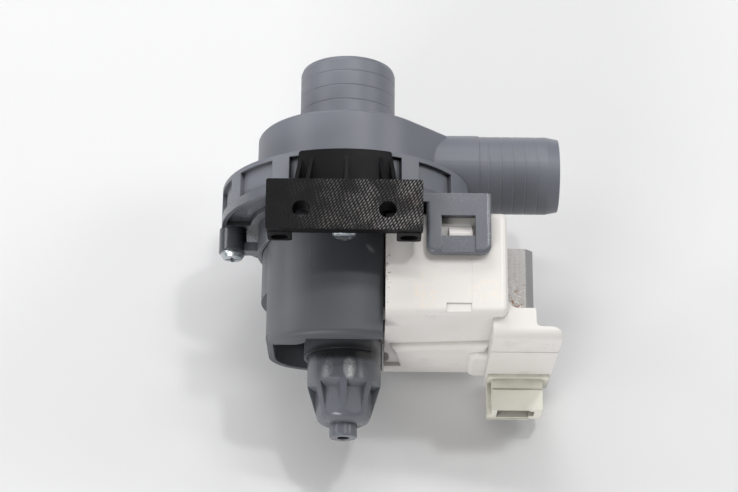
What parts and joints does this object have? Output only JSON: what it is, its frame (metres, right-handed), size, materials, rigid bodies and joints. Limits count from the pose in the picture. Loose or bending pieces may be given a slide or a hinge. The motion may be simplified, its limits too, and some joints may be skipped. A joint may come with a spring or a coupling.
{
  "type": "dishwasher drain pump",
  "caption": "Drain pump with an inlet spigot on the pump's axis, a side outlet, a ribbed flange, a closed rotor can, a white coil body with a blade connector, and a black mounting bracket.",
  "frame": {"origin": "on the pump's axis, where the inlet spigot meets the roof of the pump chamber", "axes": "+Y along the pump's axis out of the inlet, +X along the outlet's direction, +Z towards the mounting bracket"},
  "size_m": [0.1126, 0.1277, 0.088],
  "materials": {
    "housing_plastic": "blue-grey moulded polypropylene, satin",
    "coil_plastic": "warm white moulded plastic, satin",
    "connector_plastic": "cream moulded plastic, satin",
    "bracket_plastic": "near-black moulded plastic with a fine diagonal grain",
    "screw_zinc": "bright zinc plate",
    "lamination_steel": "grey phosphated steel, speckled",
    "shaft_steel": "ground bright",
    "contact_brass": "tinned brass, dull",
    "winding_copper": "enamelled copper wire",
    "magnet_ferrite": "dark grey sintered ferrite",
    "seal_rubber": "black rubber",
    "bearing_ceramic": "dark polished bearing material",
    "inner_plastic": "natural moulded plastic",
    "impeller_plastic": "black glass-filled plastic, satin"
  },
  "bodies": {
    "pump": {"volute_cover": "housing_plastic", "chamber_seal": "seal_rubber", "rotor_housing": "housing_plastic", "bearing_carrier": "inner_plastic", "carrier_seal": "seal_rubber", "front_bearing": "bearing_ceramic", "front_bearing_mount": "seal_rubber", "rear_bearing": "bearing_ceramic", "rear_bearing_mount": "seal_rubber", "stator_core": "lamination_steel", "upper_bobbin": "inner_plastic", "lower_bobbin": "inner_plastic", "upper_winding": "winding_copper", "lower_winding": "winding_copper", "motor_cover": "housing_plastic", "coil_cover": "coil_plastic", "connector_housing": "connector_plastic", "terminals": "contact_brass", "mounting_bracket": "bracket_plastic", "flange_screws": "screw_zinc", "bracket_screw": "screw_zinc"},
    "rotor": {"rotor_shaft": "shaft_steel", "rotor_magnet": "magnet_ferrite", "magnet_sleeve": "inner_plastic", "front_thrust_washer": "bearing_ceramic", "rear_thrust_washer": "bearing_ceramic", "drive_dog": "inner_plastic"},
    "impeller": {"impeller": "impeller_plastic", "impeller_cap": "impeller_plastic"}
  },
  "joints": [
    {"name": "rotor_spin", "type": "hinge", "parent": "pump", "child": "rotor", "pos_m": [0, 0, 0], "axis": [0, 1, 0], "continuous": true},
    {"name": "impeller_play", "type": "hinge", "parent": "rotor", "child": "impeller", "pos_m": [0, 0, 0], "axis": [0, 1, 0], "range_deg": [-104, 104]}
  ]
}
